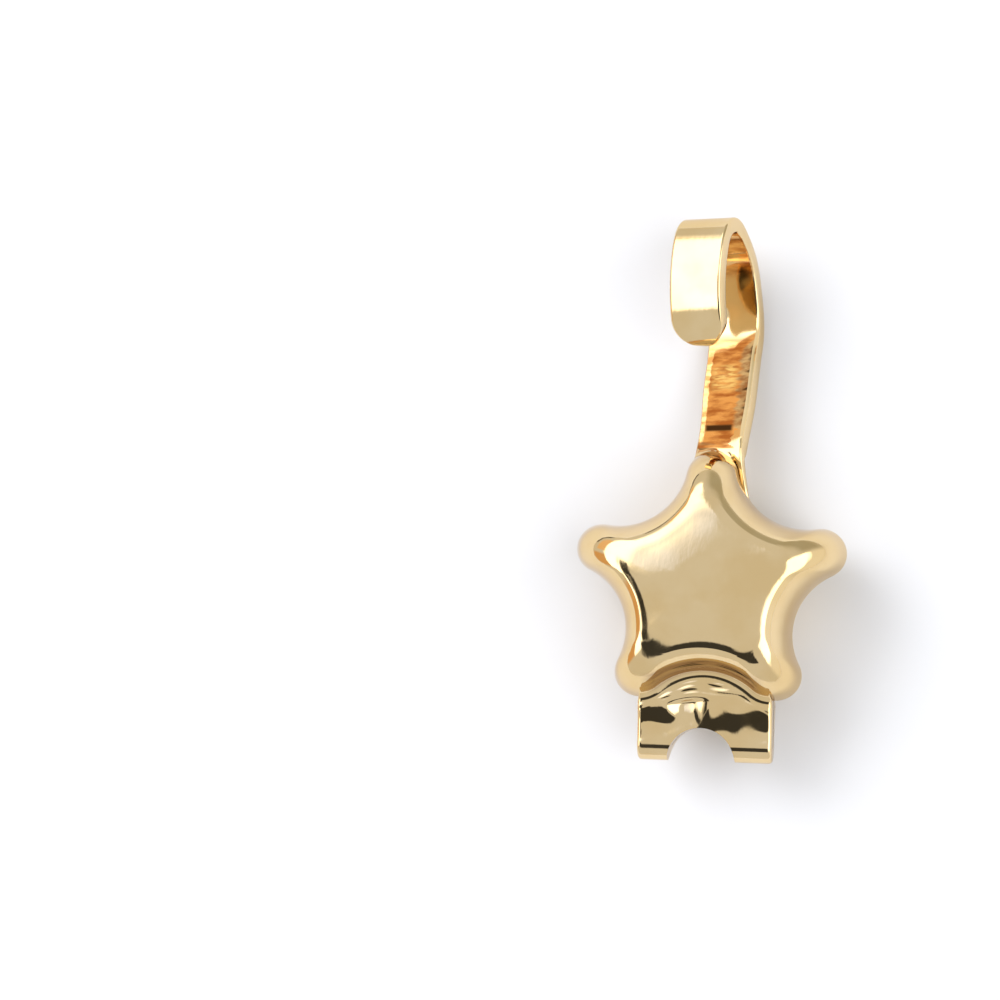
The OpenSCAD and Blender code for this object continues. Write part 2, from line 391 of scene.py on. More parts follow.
def shell_surface(inside):
    """The shell's outer or inner skin from rim to flat top, as profile samples by columns by xyz."""
    rows = spline(SHELL_RINGS, np.linspace(0, len(SHELL_RINGS) - 1, PROFILE_SAMPLES))
    rings = []
    for inset, height, reach, side, down, back in rows:
        thick = SHEET if inside else 0.0
        ring = star_outline(inset * VALLEY_REACH + side * thick, reach * ARM_REACH - back * thick)
        z = np.full((COLUMNS, 1), height * DOME - down * thick)
        if not inside:
            share = min(max((height - TOP_WAVES_FROM) / TOP_WAVES_FADE, 0.0), 1.0)
            z[:, 0] -= dents(ring[:, 0], ring[:, 1]) * share
        rings.append(np.concatenate([ring, z], axis=1))
    return np.array(rings)


def column_of(arm, share):
    """Number of the column at a place on an arm's round end."""
    place = int(np.argmin(np.abs(TIP_SHARES - share)))
    return arm * COLUMNS_PER_ARM + HALF_VALLEY_POINTS + place


def sample(surface, column, v):
    """The point of one column at a fractional profile sample."""
    samples = np.arange(PROFILE_SAMPLES)
    return [np.interp(v, samples, surface[:, column, axis]) for axis in range(3)]


def sample_at(surface, column, height):
    """The fractional profile sample of one column at a height."""
    return np.interp(height, surface[:, column, 2], np.arange(PROFILE_SAMPLES))


def along_column(surface, column, height):
    """The point of one column at a height, and the unit direction down the wall there."""
    v = sample_at(surface, column, height)
    point = np.array(sample(surface, column, v))
    down = np.array(sample(surface, column, max(v - DOWN_SAMPLES, 0))) - point
    return point, down / np.linalg.norm(down)


def bezier(points, count):
    """Points on a Bezier curve, without its first one."""
    result = []
    for t in np.linspace(0, 1, count + 1)[1:]:
        layer = [np.array(p, float) for p in points]
        while len(layer) > 1:
            layer = [a * (1 - t) + b * t for a, b in zip(layer, layer[1:])]
        result.append(layer[0])
    return result


class Sheet:
    """Collects points and faces of one closed mesh, in millimetres."""

    def __init__(self):
        self.points = []
        self.faces = []

    def add(self, rows):
        """Adds rows of points and returns their numbers, as an array of the rows' shape."""
        rows = np.asarray(rows, float)
        first = len(self.points)
        self.points.extend(rows.reshape(-1, 3))
        return np.arange(first, first + rows[..., 0].size).reshape(rows.shape[:-1])

    def grid(self, ids, closed=False, flip=False):
        """Faces between neighbouring rows and columns of point numbers."""
        ids = np.asarray(ids)
        last = ids.shape[1] if closed else ids.shape[1] - 1
        for j in range(ids.shape[0] - 1):
            for i in range(last):
                k = (i + 1) % ids.shape[1]
                face = [ids[j, i], ids[j, k], ids[j + 1, k], ids[j + 1, i]]
                face = [p for n, p in enumerate(face) if p != face[n - 1]]
                if len(face) > 2:
                    self.faces.append([int(p) for p in (face[::-1] if flip else face)])

    def fan(self, ring, point, flip=False):
        """Triangles from a ring of points to one point."""
        centre = int(self.add(np.array([point]))[0])
        for i in range(len(ring)):
            face = [int(ring[i]), int(ring[(i + 1) % len(ring)]), centre]
            self.faces.append(face[::-1] if flip else face)


def make_mesh(name, points, faces):
    """A closed mesh object in metres, with holes at flat sides filled and normals outward."""
    bm = bmesh.new()
    verts = [bm.verts.new(Vector(p) * MM) for p in points]
    for face in faces:
        bm.faces.new([verts[i] for i in face])
    bmesh.ops.holes_fill(bm, edges=[e for e in bm.edges if len(e.link_faces) == 1], sides=0)
    bmesh.ops.triangulate(bm, faces=[f for f in bm.faces if len(f.verts) > 4])
    loose = [v for v in bm.verts if not v.link_faces]
    bmesh.ops.delete(bm, geom=loose, context="VERTS")
    bmesh.ops.recalc_face_normals(bm, faces=bm.faces)
    mesh = bpy.data.meshes.new(name)
    bm.to_mesh(mesh)
    open_edges = sum(1 for e in bm.edges if len(e.link_faces) != 2)
    print(f"MESH {name}: {len(bm.faces)} faces, {open_edges} open edges")
    bm.free()
    obj = bpy.data.objects.new(name, mesh)
    bpy.context.scene.collection.objects.link(obj)
    return obj


def finish_shading(obj, degrees=32):
    """Smooth shading that stays crisp over edges steeper than this."""
    obj.data.polygons.foreach_set("use_smooth", [True] * len(obj.data.polygons))
    obj.data.set_sharp_from_angle(angle=math.radians(degrees))


def cut(obj, tool):
    """Cuts the tool's solid out of obj and keeps the result in obj's mesh."""
    modifier = obj.modifiers.new("cut", "BOOLEAN")
    modifier.operation = "DIFFERENCE"
    modifier.solver = "MANIFOLD"
    modifier.object = tool
    graph = bpy.context.evaluated_depsgraph_get()
    mesh = bpy.data.meshes.new_from_object(obj.evaluated_get(graph))
    obj.modifiers.clear()
    old = obj.data
    obj.data = mesh
    bpy.data.meshes.remove(old)
    obj.data.name = obj.name


def side_drop(x, half_width):
    """How far the surface sinks beside a rounded side edge."""
    inside = half_width - abs(x)
    if inside >= SIDE_ROUND:
        return 0.0
    return SIDE_ROUND - math.sqrt(max(SIDE_ROUND**2 - (SIDE_ROUND - inside) ** 2, 0.0))


def smooth_step(t):
    """Rises smoothly from 0 to 1 as t does."""
    return t * t * (3 - 2 * t)


def share_between(value, low, high):
    """Rises smoothly from 0 at low to 1 at high, and stays level outside."""
    return smooth_step(min(max((value - low) / (high - low), 0.0), 1.0))


def tab_columns():
    """Numbers of the columns between the two side edges of the tab, from left to right."""
    return range(column_of(2, TAB_EDGE_SHARE), column_of(3, -TAB_EDGE_SHARE) + 1)


def tab_places():
    """Sideways places of the tab's columns: close together where the side edges are rounded, then even."""
    count = len(tab_columns())
    edge = [TAB_HALF - share * SIDE_ROUND for share in TAB_SIDE_SHARES]
    even = np.linspace(edge[-1] - TAB_SIDE_STEP, TAB_SIDE_STEP - edge[-1], count - 2 * len(edge))
    return [-x for x in edge] + [-x for x in even] + edge[::-1]


def ledge_edge(x):
    """Place of the ledge's lower edge, a shallow arc."""
    return -LEDGE_DROP - LEDGE_RADIUS + math.sqrt(LEDGE_RADIUS**2 - x * x)


def slope_length(x):
    """Length of the gentle slope below the ledge at one place across the tab."""
    more, more_from, more_to = SLOPE_LONGER
    less, less_from, less_to = SLOPE_SHORTER
    longer = more * share_between(x, more_from, more_to)
    return SLOPE_LENGTH + longer - less * share_between(x, less_from, less_to)


def tab_height(x, y, top):
    """Height of the tab's outer face below y = top: ledge, step and flat, with their fine relief."""
    edge = ledge_edge(x)
    middle = 1 - share_between(abs(x - STEP_PLACE), *STEP_TURNS_GENTLE)
    sharp = share_between(edge - y, 0.0, STEP_RUN)
    sharp = sharp * (1 + STEP_DIP) - STEP_DIP * share_between(edge - y, STEP_RUN, STEP_DIP_END)
    gentle = share_between(SLOPE_TOP - y, 0.0, slope_length(x))
    height = SHEET + LEDGE * (1 - middle * sharp - (1 - middle) * gentle)
    calm = share_between(top - y, 0.0, TAB_CALM_TOP) * share_between(y + FOLD_DROP, 0.0, TAB_CALM_FOLD)
    strength = share_between(y - edge, 0.02, 0.12) * (0.6 + 0.4 * math.sin(8 * x + 9 * y))
    lines = math.sin(LEDGE_LINES * (y - edge) + 1.5 * math.sin(6 * x))
    return height + calm * (waves(TAB_WAVES, x, y) + LEDGE_LINES_DEPTH * strength * lines)


def tab_path(outer, column, x):
    """Outer surface of the tab below the dome: fillet, ledge, step and flat, down to the fold."""
    start, down = along_column(outer, column, WALL_JOIN)
    corner = start + down * FILLET / -down[2]
    out = np.array([down[0], down[1], 0.0])
    out /= np.linalg.norm(out)
    end = corner + out * FILLET * FILLET_RUN
    end[0] = x
    drop = side_drop(x, TAB_HALF)
    path = []
    shares = np.linspace(1 / FILLET_ROWS, 1, FILLET_ROWS)
    for share, p in zip(shares, bezier([start, corner, end], FILLET_ROWS)):
        path.append(np.array([p[0], p[1], p[2] - drop * smooth_step(share)]))
    top = path[-1][1]
    edge = ledge_edge(x)
    places = list(np.linspace(top, edge, LEDGE_ROWS + 1)[1:])
    places += list(np.linspace(edge, edge - STEP_RUN, STEP_ROWS + 1)[1:])
    places += list(np.linspace(edge - STEP_RUN, -FOLD_DROP, FLAT_ROWS + 1)[1:])
    for y in places:
        path.append(np.array([x, y, tab_height(x, y, top) - drop]))
    return path


def joining_heights(neck):
    """Height at which each column's wall passes into its lower part, which is another one round a neck."""
    join = np.full(COLUMNS, WALL_JOIN)
    if not neck:
        return join
    middle = column_of(0, 0.0)
    for column in range(COLUMNS_PER_ARM):
        share = min(abs(column - middle) / (neck[-1] - middle), 1.0)
        join[column] = NECK_JOIN + NECK_JOIN_RISE * (1 - smooth_step(share))
    for k in range(JOIN_BLEND_COLUMNS):
        mix = smooth_step((k + 0.5) / JOIN_BLEND_COLUMNS)
        for column in (COLUMNS_PER_ARM + k, COLUMNS - 1 - k):
            join[column] = join[COLUMNS_PER_ARM - 1] * (1 - mix) + join[column] * mix
    return join


def upper_skin(surface, rows, join):
    """A skin from the flat top's edge down to the joining heights, and the sample where each column ends."""
    low = np.array([sample_at(surface, c, join[c]) for c in range(COLUMNS)])
    result = np.zeros((rows, COLUMNS, 3))
    for j in range(rows):
        v = PROFILE_SAMPLES - 1 + (low - PROFILE_SAMPLES + 1) * j / (rows - 1)
        for c in range(COLUMNS):
            result[j, c] = sample(surface, c, v[c])
    return result, low


def close_top(sheet, rows, ids, inside):
    """Closes a skin's flat top in rings towards the middle."""
    rings = [ids[0]]
    for share in TOP_RING_SHARES:
        ring = rows[0] * np.array([share, share, 1.0])
        if not inside:
            ring[:, 2] = DOME - dents(ring[:, 0], ring[:, 1])
        rings.append(sheet.add(ring))
    sheet.grid(np.array(rings), closed=True, flip=not inside)
    middle = rows[0][0][2] if inside else DOME - float(dents(0.0, 0.0))
    sheet.fan(rings[-1], [0, 0, middle], flip=inside)


def lower_wall(sheet, surface, low, ids, rows, inward):
    """The wall from the joining height down to the rim, with the rim's rounding, as rows of point numbers."""
    result = []
    for c in range(COLUMNS):
        bottom = sample_at(surface, c, RIM_ROUND)
        line = [sample(surface, c, low[c] + (bottom - low[c]) * j / rows) for j in range(1, rows + 1)]
        a = surface[0, c - 1]
        b = surface[0, (c + 1) % COLUMNS]
        side = np.array([b[1] - a[1], a[0] - b[0]])
        side /= np.linalg.norm(side)
        foot = line[-1]
        for turn in ROUND_TURNS:
            s = math.radians(turn)
            shift = side * RIM_ROUND * (math.cos(s) - 1) * inward
            line.append([foot[0] + shift[0], foot[1] + shift[1], RIM_ROUND * (1 - math.sin(s))])
        result.append(line)
    return np.concatenate([ids[-1:], sheet.add(np.array(result).transpose(1, 0, 2))])


def rim_spans(tab, neck):
    """Spans of columns where the outer wall goes down to the rim: all but those of the tab and the neck."""
    if neck:
        return [
            list(range(neck[-1], tab[0] + 1)),
            list(range(tab[-1], COLUMNS)) + list(range(neck[0] + 1)),
        ]
    return [list(range(tab[-1], COLUMNS)) + list(range(tab[0] + 1))]


def half_sheet(with_neck):
    """One half of the part in its own frame: rim plane at z = 0, dome upwards, fold towards -Y."""
    sheet = Sheet()
    outer = shell_surface(False)
    inner = shell_surface(True)
    tab = list(tab_columns())
    neck = list(range(NECK_FIRST_COLUMN, column_of(0, NECK_EDGE_SHARE) + 1)) if with_neck else []
    join = joining_heights(neck)

    outer_rows, outer_low = upper_skin(outer, DOME_ROWS, join)
    inner_rows, inner_low = upper_skin(inner, INNER_ROWS, join - INNER_JOIN_DROP)
    outer_ids = sheet.add(outer_rows)
    inner_ids = sheet.add(inner_rows)
    sheet.grid(outer_ids, closed=True)
    sheet.grid(inner_ids, closed=True, flip=True)
    close_top(sheet, outer_rows, outer_ids, False)
    close_top(sheet, inner_rows, inner_ids, True)

    inner_wall = lower_wall(sheet, inner, inner_low, inner_ids, INNER_WALL_ROWS, -1)
    outer_wall = lower_wall(sheet, outer, outer_low, outer_ids, WALL_ROWS, 1)
    sheet.grid(inner_wall, closed=True, flip=True)
    for span in rim_spans(tab, neck):
        sheet.grid(outer_wall[:, span])
        sheet.grid(np.array([outer_wall[-1, span], inner_wall[-1, span]]))

    add_tab(sheet, outer, outer_ids, outer_wall, inner_wall, tab)
    if with_neck:
        add_strip(sheet, outer, outer_ids, outer_wall, inner_wall, neck, join)
    return sheet


def tab_underside(foot, path):
    """Points of the flat underside, one below each point of an outer path, from the wall's foot."""
    under = []
    for j, p in enumerate(path):
        t = min((j + 1) / FILLET_ROWS, 1.0)
        under.append([foot[0] * (1 - t) + p[0] * t, min(p[1], foot[1] - UNDERSIDE_STEP * (j + 1)), 0.0])
    return under


def close_tab_side(sheet, top, under, wall, edge, inside):
    """One side of the tab, from the wall's edge column to the fold, and the end face's last stretch there."""
    rows = [list(wall)]
    steps = len(rows[0])
    for j in range(1, len(top)):
        a = np.array(sheet.points[top[j, edge]])
        b = np.array(sheet.points[under[j + 1, edge]])
        shares = [k / (steps - 1) for k in range(1, steps - 1)]
        between = sheet.add([a * (1 - share) + b * share for share in shares])
        rows.append([top[j, edge], *between, under[j + 1, edge]])
    sheet.grid(np.array(rows))
    sheet.faces.append([int(i) for i in rows[-1] + [under[-1, inside], top[-1, inside]]])


def add_tab(sheet, outer, outer_ids, outer_wall, inner_wall, tab):
    """The tab from the dome's bottom arch to the fold: its outer face, flat underside, end and two sides."""
    outer_paths = [tab_path(outer, c, x) for x, c in zip(tab_places(), tab)]
    feet = [np.array(sheet.points[outer_wall[-1, c]]) for c in tab]
    under_paths = [tab_underside(foot, path) for foot, path in zip(feet, outer_paths)]
    top = np.concatenate([[outer_ids[-1, tab]], sheet.add(np.array(outer_paths).transpose(1, 0, 2))])
    under = np.concatenate([
        [inner_wall[-1, tab]], [outer_wall[-1, tab]], sheet.add(np.array(under_paths).transpose(1, 0, 2))
    ])
    sheet.grid(top)
    sheet.grid(under, flip=True)
    sheet.grid(np.array([top[-1, 1:-1], under[-1, 1:-1]]))
    for edge, inside in ((0, 1), (-1, -2)):
        close_tab_side(sheet, top, under, outer_wall[:, tab[edge]], edge, inside)


def strip_ripple(x, y, share):
    """Depth of the fine cross ripples on the strip's inner face, from the star to the hook's bend."""
    if share > STRIP_BEND_SHARE:
        return 0.0
    fade = 1 - share_between(y, *RIPPLES_END)
    wave = math.sin(RIPPLES * y + 2.0 * math.sin(3 * x)) + waves(RIPPLE_WAVES, x, y)
    return RIPPLES_DEPTH * fade * (1 + 0.6 * math.sin(3.1 * y + 2 * x)) * wave


def strip_roll(across, share):
    """How far the strip's edges stand up from its inner face; across runs from -1 to 1."""
    fade = share_between(share, *EDGE_GROWS) * (1 - share_between(share, *EDGE_FADES))
    rise = 0.0
    for side, height, start, curve in zip((-1, 1), EDGE_RISE, EDGE_FROM, EDGE_CURVE):
        rise += height * max((side * across - start) / (1 - start), 0.0) ** curve
    return fade * rise


def strip_axes(places, i, twist):
    """The strip's direction across it and its normal, at one of its places."""
    along = places[min(i + 1, len(places) - 1)] - places[max(i - 1, 0)]
    along /= np.linalg.norm(along)
    turn = math.radians(twist)
    across = np.array([math.cos(turn), 0.0, math.sin(turn)])
    across -= (across @ along) * along
    across /= np.linalg.norm(across)
    return across, np.cross(along, across)


def strip_size(width_share, to_end):
    """Half the strip's width and half its thickness, both less towards the rounded end."""
    width = width_share * STRIP_HALF
    height = SHEET / 2
    if to_end < TONGUE_ROUND:
        width *= max(math.sqrt(1 - (1 - to_end / TONGUE_ROUND) ** 2), TONGUE_TIP)
    if to_end < END_ROUND:
        height -= END_ROUND - math.sqrt(END_ROUND**2 - (END_ROUND - to_end) ** 2)
    return width, height


def strip_outline(shares, width, height):
    """The strip's cross section as a closed ring: back face, right edge, inner face, left edge."""
    bevel = min(STRIP_BEVEL, 0.8 * height)
    flat = [(share * (width - bevel), -height) for share in shares]
    corner = []
    for turn in ROUND_TURNS:
        t = math.radians(turn)
        corner.append((width - bevel + bevel * math.sin(t), -height + bevel - bevel * math.cos(t)))
    ring = flat + corner
    ring += [(x, -y) for x, y in corner[::-1]]
    ring += [(x, -y) for x, y in flat[::-1]]
    ring += [(-x, -y) for x, y in corner]
    ring += [(-x, y) for x, y in corner[::-1]]
    return ring


def strip_rings(count):
    """Rings of the strip from the neck to its end, in the half's own frame, with count points on a face."""
    last = len(STRIP_SECTIONS) - 1
    rows = spline(STRIP_SECTIONS, np.linspace(0, last, last * STRIP_STEPS + 1))
    places = rows[:, :3]
    turns = [STRIP_SPREAD * (2 * i / (count - 1) - 1) for i in range(count)]
    shares = np.array([math.sin(math.radians(turn)) for turn in turns])
    shares /= shares[-1]
    steps = np.linalg.norm(np.diff(places, axis=0), axis=1)
    to_end = np.concatenate([np.cumsum(steps[::-1])[::-1], [0.0]])
    first_inner = count + 2 * len(ROUND_TURNS)
    rings = []
    for i, (_, y, _, twist, width_share) in enumerate(rows):
        across, normal = strip_axes(places, i, twist)
        width, height = strip_size(width_share, to_end[i])
        ring = strip_outline(shares, width, height)
        points = [places[i] + a * across - b * normal for a, b in ring]
        share = i / len(rows)
        for k in range(first_inner, first_inner + count):
            a = ring[k][0]
            points[k] = points[k] - normal * (strip_ripple(a, y, share) + strip_roll(a / width, share))
        rings.append([[p[0], p[1], -HALF_GAP - p[2]] for p in points])
    return np.array(rings)


def add_strip(sheet, outer, outer_ids, outer_wall, inner_wall, neck, join):
    """The neck, which flows from the top arm into the strip, and the strip to the end of the hook."""
    count = len(neck)
    strip = strip_rings(count)
    ids = sheet.add(strip)
    sheet.grid(ids, closed=True)
    sheet.faces.append([int(i) for i in ids[-1]])
    tangent = strip[1].mean(axis=0) - strip[0].mean(axis=0)
    tangent /= np.linalg.norm(tangent)
    # Over the top arm the star's columns run from right to left. So do the points of the strip's inner face,
    # and those of its back face run the other way
    first_inner = count + 2 * len(ROUND_TURNS)
    back_ids = ids[0, :count][::-1]
    front_ids = ids[0, first_inner : first_inner + count]
    outer_paths = []
    under_paths = []
    for c, back, front in zip(neck, back_ids, front_ids):
        start, down = along_column(outer, c, join[c])
        target = np.array(sheet.points[back])
        low = start + down * (start[2] - SHEET) * NECK_PULL_DOWN
        path = bezier([start, low, target - tangent * NECK_PULL_BACK, target], NECK_ROWS)[:-1]
        outer_paths.append(path)
        foot = np.array(sheet.points[outer_wall[-1, c]])
        end = np.array(sheet.points[front])
        under_paths.append([foot * (1 - t) + end * t for t in NECK_UNDER_SHARES])
    top = np.concatenate([
        [outer_ids[-1, neck]], sheet.add(np.array(outer_paths).transpose(1, 0, 2)), [back_ids]
    ])
    under = np.concatenate([
        [inner_wall[-1, neck]], [outer_wall[-1, neck]],
        sheet.add(np.array(under_paths).transpose(1, 0, 2)), [front_ids]
    ])
    sheet.grid(top)
    sheet.grid(under, flip=True)


def fold_sheet(first, last):
    """A band of the fold between two angles, from the back tab round the bottom to the front tab."""
    sheet = Sheet()
    xs = tab_places()
    outer = []
    inner = []
    for k in range(FOLD_STEPS + 1):
        angle = math.radians(first + (last - first) * k / FOLD_STEPS)
        y = -math.sin(angle)
        z = -math.cos(angle)
        reach = [FOLD_RADIUS - FOLD_FLAT * math.sin(angle) - side_drop(x, TAB_HALF) for x in xs]
        outer.append([[x, -FOLD_DROP + r * y, LIFT + r * z] for x, r in zip(xs, reach)])
        inner.append([[x, -FOLD_DROP + HALF_GAP * y, LIFT + HALF_GAP * z] for x in xs])
    a = sheet.add(outer)
    b = sheet.add(inner)
    sheet.grid(a)
    sheet.grid(b, flip=True)
    for end in (0, -1):
        sheet.grid(np.array([a[end], b[end]]))
    for side in (0, -1):
        sheet.grid(np.array([a[:, side], b[:, side]]))
    return sheet


def placed(points, back):
    """Points of a half in the row frame: the front half above the parting plane, the back half below it."""
    points = np.array(points)
    if back:
        return points * [1, 1, -1] + [0, 0, LIFT - HALF_GAP]
    return points + [0, 0, LIFT + HALF_GAP]


def punch():
    """The round punch that cuts the cord hole."""
    sheet = Sheet()
    turns = [2 * math.pi * i / PUNCH_SIDES for i in range(PUNCH_SIDES)]
    ids = sheet.add([
        [
            [
                -CORD_HOLE_LEFT + CORD_HOLE_RADIUS * math.cos(turn),
                -FOLD_DROP - FOLD_RADIUS + CORD_HOLE_RADIUS * math.sin(turn),
                z,
            ]
            for turn in turns
        ]
        for z in (-1.0, 2 * LIFT + 1.0)
    ])
    sheet.grid(ids, closed=True)
    sheet.faces.append([int(i) for i in ids[0]])
    sheet.faces.append([int(i) for i in ids[1]])
    return make_mesh("punch", sheet.points, sheet.faces)


def colour_socket(sockets, name):
    """The colour input or output of a Mix node that has sockets of one name for each kind of value."""
    return [s for s in sockets if s.type == "RGBA" and s.name == name][0]


def add_noise(tree, scale, detail):
    """Noise from about 0 to 1 in the object's own place, with a scale for each axis in features per metre."""
    place = tree.nodes.new("ShaderNodeTexCoord").outputs["Object"]
    stretch = tree.nodes.new("ShaderNodeMapping")
    stretch.inputs["Scale"].default_value = scale
    noise = tree.nodes.new("ShaderNodeTexNoise")
    noise.inputs["Scale"].default_value = 1.0
    noise.inputs["Detail"].default_value = detail
    tree.links.new(place, stretch.inputs["Vector"])
    tree.links.new(stretch.outputs["Vector"], noise.inputs["Vector"])
    return noise.outputs["Fac"]


def add_range(tree, value, low, high, first, last):
    """Turns a value between low and high into one between first and last, smoothly."""
    node = tree.nodes.new("ShaderNodeMapRange")
    node.interpolation_type = "SMOOTHSTEP"
    tree.links.new(value, node.inputs["Value"])
    for name, number in (("From Min", low), ("From Max", high), ("To Min", first), ("To Max", last)):
        node.inputs[name].default_value = number
    return node.outputs["Result"]


def add_mix(tree, share, first, second):
    """Mixes two colours, each a tuple or a socket."""
    mix = tree.nodes.new("ShaderNodeMix")
    mix.data_type = "RGBA"
    tree.links.new(share, mix.inputs["Factor"])
    for name, colour in (("A", first), ("B", second)):
        if isinstance(colour, tuple):
            colour_socket(mix.inputs, name).default_value = (*colour, 1)
        else:
            tree.links.new(colour, colour_socket(mix.inputs, name))
    return colour_socket(mix.outputs, "Result")


def add_product(tree, first, second):
    """The product of two sockets."""
    node = tree.nodes.new("ShaderNodeMath")
    node.operation = "MULTIPLY"
    tree.links.new(first, node.inputs[0])
    tree.links.new(second, node.inputs[1])
    return node.outputs[0]


def add_window(tree, value, low, high, edge):
    """1 between low and high and 0 outside, with soft edges."""
    rise = add_range(tree, value, low - edge, low + edge, 0.0, 1.0)
    fall = add_range(tree, value, high - edge, high + edge, 1.0, 0.0)
    return add_product(tree, rise, fall)


def add_band(tree, axis, low, high, edge):
    """1 between two places along an axis of the object, in millimetres, and 0 outside, with soft edges."""
    split = tree.nodes.new("ShaderNodeSeparateXYZ")
    tree.links.new(tree.nodes.new("ShaderNodeTexCoord").outputs["Object"], split.inputs[0])
    return add_window(tree, split.outputs[axis], low * MM, high * MM, edge * MM)


def painted_dark_reflection(tree):
    """A painted dark reflection: the dark line across the middle of the strip."""
    up = add_band(tree, "Y", *DARK_REFLECTION_UP, 0.03)
    return add_product(tree, up, add_band(tree, "X", *DARK_REFLECTION_ACROSS, 0.05))


def painted_arch_shade(tree):
    """Painted shade on the browner arch where the tab leaves the front star's wall, in fine lines."""
    up = add_band(tree, "Y", *ARCH_SHADE_UP, 0.10)
    place = add_product(tree, up, add_band(tree, "X", *ARCH_SHADE_ACROSS, 0.20))
    place = add_product(tree, place, add_band(tree, "Z", *ARCH_SHADE_HEIGHT, 0.06))
    lines = add_noise(tree, ARCH_SHADE_LINES, 2.0)
    return add_product(tree, place, add_range(tree, lines, 0.35, 0.65, 0.55, 1.0))


def painted_highlight_patch(tree):
    """A painted highlight: the brighter, finely crossed patch in the middle of the strip."""
    place = add_product(
        tree, add_band(tree, "Y", *HIGHLIGHT_PATCH_UP, 0.12), add_band(tree, "X", *HIGHLIGHT_PATCH_ACROSS, 0.12)
    )
    lines = add_noise(tree, HIGHLIGHT_PATCH_LINES, 2.0)
    return add_product(tree, place, add_range(tree, lines, 0.40, 0.60, 0.15, 1.0))


def pale_bend(tree):
    """The bend at the strip's upper end, where the painted reflection stops and the inside is as pale as the
    outside.
    """
    return add_band(tree, "Y", *PALE_BEND_UP, 0.15)


def gold_material(name, light, deep, streaks, with_painted_reflection=False):
    """Mirror-polished gold whose tone, polish and fine drawn lines vary; streaks is the lines' scale.

    The one with painted reflection is for the inner side of the strip and the hook: its deep orange tone,
    yellow patch and dark line are painted reflections. The other one paints shade on the arch above the tab.
    """
    material = bpy.data.materials.new(name)
    material.use_nodes = True
    tree = material.node_tree
    tree.nodes.clear()
    output = tree.nodes.new("ShaderNodeOutputMaterial")
    shader = tree.nodes.new("ShaderNodeBsdfPrincipled")
    tree.links.new(shader.outputs["BSDF"], output.inputs["Surface"])
    shader.inputs["Metallic"].default_value = 1.0
    shader.inputs["Specular Tint"].default_value = (*GRAZING_TINT, 1)

    tone = add_noise(tree, streaks if with_painted_reflection else TONE_SCALE, 3.0)
    colour = add_mix(tree, add_range(tree, tone, 0.35, 0.68, 0.0, 1.0), light, deep)
    if with_painted_reflection:
        # Painted highlight patch, then plain gold on the bend, then the painted dark reflection line
        colour = add_mix(tree, painted_highlight_patch(tree), colour, HIGHLIGHT_PATCH_COLOUR)
        colour = add_mix(tree, pale_bend(tree), colour, GOLD_LIGHT)
        # Painted dark reflection line across the strip
        colour = add_mix(tree, painted_dark_reflection(tree), colour, DARK_REFLECTION_COLOUR)
    else:
        # Painted shade on the arch above the tab
        colour = add_mix(tree, painted_arch_shade(tree), colour, ARCH_SHADE_COLOUR)
    tree.links.new(colour, shader.inputs["Base Color"])

    polish = add_noise(tree, POLISH_SCALE, 4.0)
    tree.links.new(add_range(tree, polish, 0.35, 0.70, *ROUGHNESS), shader.inputs["Roughness"])

    bump = tree.nodes.new("ShaderNodeBump")
    bump.inputs["Strength"].default_value = 1.0
    bump.inputs["Distance"].default_value = INSIDE_DEPTH if with_painted_reflection else DRAWN_DEPTH
    tree.links.new(add_noise(tree, streaks, 2.0), bump.inputs["Height"])
    tree.links.new(bump.outputs["Normal"], shader.inputs["Normal"])
    return material


def is_strip_inside(centre, normal):
    """Whether a face of the back piece is on the inner side of the strip or the hook."""
    if centre.y < STRIP_SECTIONS[0, 1] * MM:
        return False
    towards_middle = Vector(HOOK_MIDDLE) * MM - centre
    return normal.dot(towards_middle.normalized()) > FACING


def paint_inside_reflection(obj):
    """Gives the inner side of the strip and the hook the second gold, with its painted reflection of deep
    orange gold.
    """
    for polygon in obj.data.polygons:
        polygon.material_index = 1 if is_strip_inside(polygon.center, polygon.normal) else 0


def plain_material(name, colour, roughness):
    """A dull material of one colour."""
    material = bpy.data.materials.new(name)
    material.use_nodes = True
    shader = material.node_tree.nodes["Principled BSDF"]
    shader.inputs["Base Color"].default_value = (*colour, 1)
    shader.inputs["Roughness"].default_value = roughness
    return material


def add_floor():
    """The pale paper that the part lies on."""
    corners = [(x * PAPER_HALF, y * PAPER_HALF, 0) for x, y in ((-1, -1), (1, -1), (1, 1), (-1, 1))]
    mesh = bpy.data.meshes.new("floor")
    mesh.from_pydata(corners, [], [(0, 1, 2, 3)])
    floor = bpy.data.objects.new("floor", mesh)
    bpy.context.scene.collection.objects.link(floor)
    floor.data.materials.append(plain_material("paper", PAPER, 0.9))


